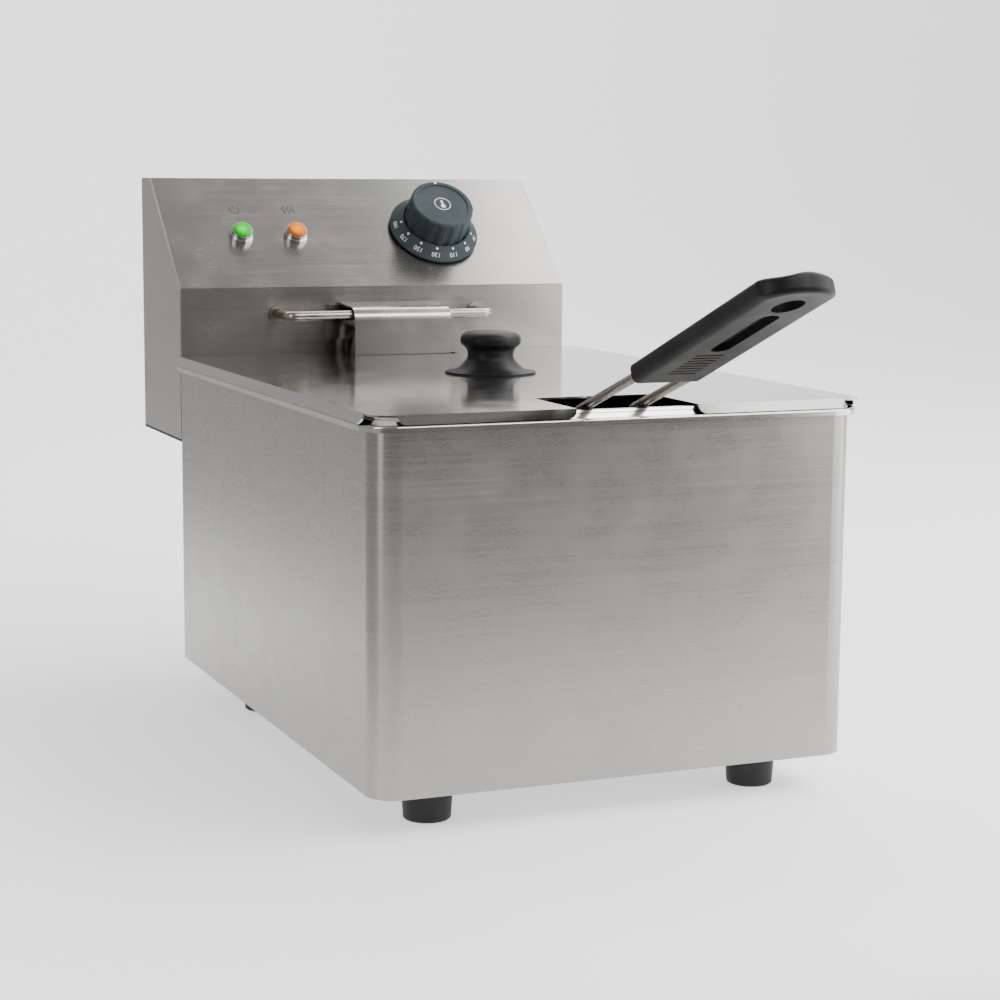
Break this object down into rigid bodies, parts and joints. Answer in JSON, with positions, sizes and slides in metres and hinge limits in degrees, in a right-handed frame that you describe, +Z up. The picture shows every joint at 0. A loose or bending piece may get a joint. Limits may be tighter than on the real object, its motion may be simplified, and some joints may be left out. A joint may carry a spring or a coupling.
{
  "type": "deep fryer",
  "caption": "Countertop electric deep fryer with a lift-out oil pan, wire basket, loose steel lid and a lift-off control head.",
  "frame": {"origin": "on the counter, under the middle of the housing's footprint", "axes": "+X to the right of someone facing the front, +Y to the back, +Z up"},
  "size_m": [0.2754, 0.6394, 0.317],
  "materials": {
    "brushed_steel": "fine horizontal brushing, satin",
    "lid_steel": "fine brushing, brighter than the housing",
    "pan_steel": "smooth drawn stainless steel",
    "galvanised_steel": "dull plated sheet",
    "screw_steel": "plain zinc plated",
    "wire_steel": "satin wire, spot welded",
    "chrome": "polished",
    "element_steel": "satin tube, slightly heat tinted",
    "copper": "drawn copper tube",
    "black_rubber": "matt",
    "black_phenolic": "satin moulded",
    "black_plastic": "matt moulded",
    "slate_plastic": "fine satin moulded",
    "white_plastic": "moulded insulating plastic",
    "green_lens": "translucent, lit from inside",
    "orange_lens": "translucent, lit from inside",
    "red_plastic": "moulded"
  },
  "bodies": {
    "housing": {"outer_housing": "brushed_steel", "base_plate": "galvanised_steel", "base_plate_screws": "screw_steel", "feet": "black_rubber", "foot_screws": "screw_steel", "foot_nuts": "screw_steel", "head_locating_studs": "screw_steel"},
    "pan": {"oil_pan": "pan_steel"},
    "head": {"head_front_panel": "brushed_steel", "head_left_end": "brushed_steel", "head_right_end": "brushed_steel", "head_rear_cover": "galvanised_steel", "rear_cover_screws": "screw_steel", "head_bottom_plate": "black_plastic", "cable_gland": "black_plastic", "gland_locknut": "black_plastic", "thermostat_body": "white_plastic", "thermostat_screws": "screw_steel", "green_lamp_bezel": "chrome", "green_lamp_lens": "green_lens", "orange_lamp_bezel": "chrome", "orange_lamp_lens": "orange_lens", "lamp_nuts": "black_plastic", "high_limit_cutout": "black_plastic", "terminal_block": "white_plastic", "interlock_microswitch": "black_plastic", "heating_element": "element_steel", "element_flange": "pan_steel", "element_nuts": "screw_steel", "element_cover": "brushed_steel", "thermostat_bulb": "copper", "thermostat_capillary": "copper", "bulb_clip": "pan_steel", "hanger_bar": "wire_steel", "hanger_washers": "wire_steel", "hanger_nuts": "screw_steel"},
    "knob": {"thermostat_shaft": "screw_steel", "dial_skirt": "slate_plastic", "knob_grip": "slate_plastic"},
    "reset": {"reset_button": "red_plastic"},
    "lid": {"lid_panel": "lid_steel", "lid_knob": "black_phenolic", "lid_knob_washer": "screw_steel", "lid_knob_screw": "screw_steel"},
    "basket": {"basket_mesh": "wire_steel", "basket_rim_wire": "wire_steel", "basket_band_wire": "wire_steel", "basket_floor_wires": "wire_steel", "basket_handle_rods": "wire_steel", "basket_hook": "wire_steel", "basket_handle_grip": "black_phenolic"}
  },
  "joints": [
    {"name": "pan_lift", "type": "slide", "parent": "housing", "child": "pan", "axis": [0, 0, 1], "range_m": [0, 0.2]},
    {"name": "head_lift", "type": "slide", "parent": "pan", "child": "head", "axis": [0, 0, 1], "range_m": [0, 0.16]},
    {"name": "dial_turn", "type": "hinge", "parent": "head", "child": "knob", "pos_m": [0.0473, 0.21205, 0.28299], "axis": [0, -0.6862, 0.7274], "range_deg": [0, 290]},
    {"name": "reset_press", "type": "slide", "parent": "head", "child": "reset", "axis": [0, -1, 0], "range_m": [0, 0.002], "stiffness_N_per_m": 400},
    {"name": "lid_lift", "type": "slide", "parent": "head", "child": "lid", "axis": [0, -0.8192, 0.5736], "range_m": [0, 0.45]},
    {"name": "basket_lift", "type": "slide", "parent": "head", "child": "basket", "axis": [0, 0, 1], "range_m": [0, 0.09]}
  ],
  "couplings": [
    {"joint": "basket_lift", "follows": "lid_lift", "ratio": 0.2}
  ]
}
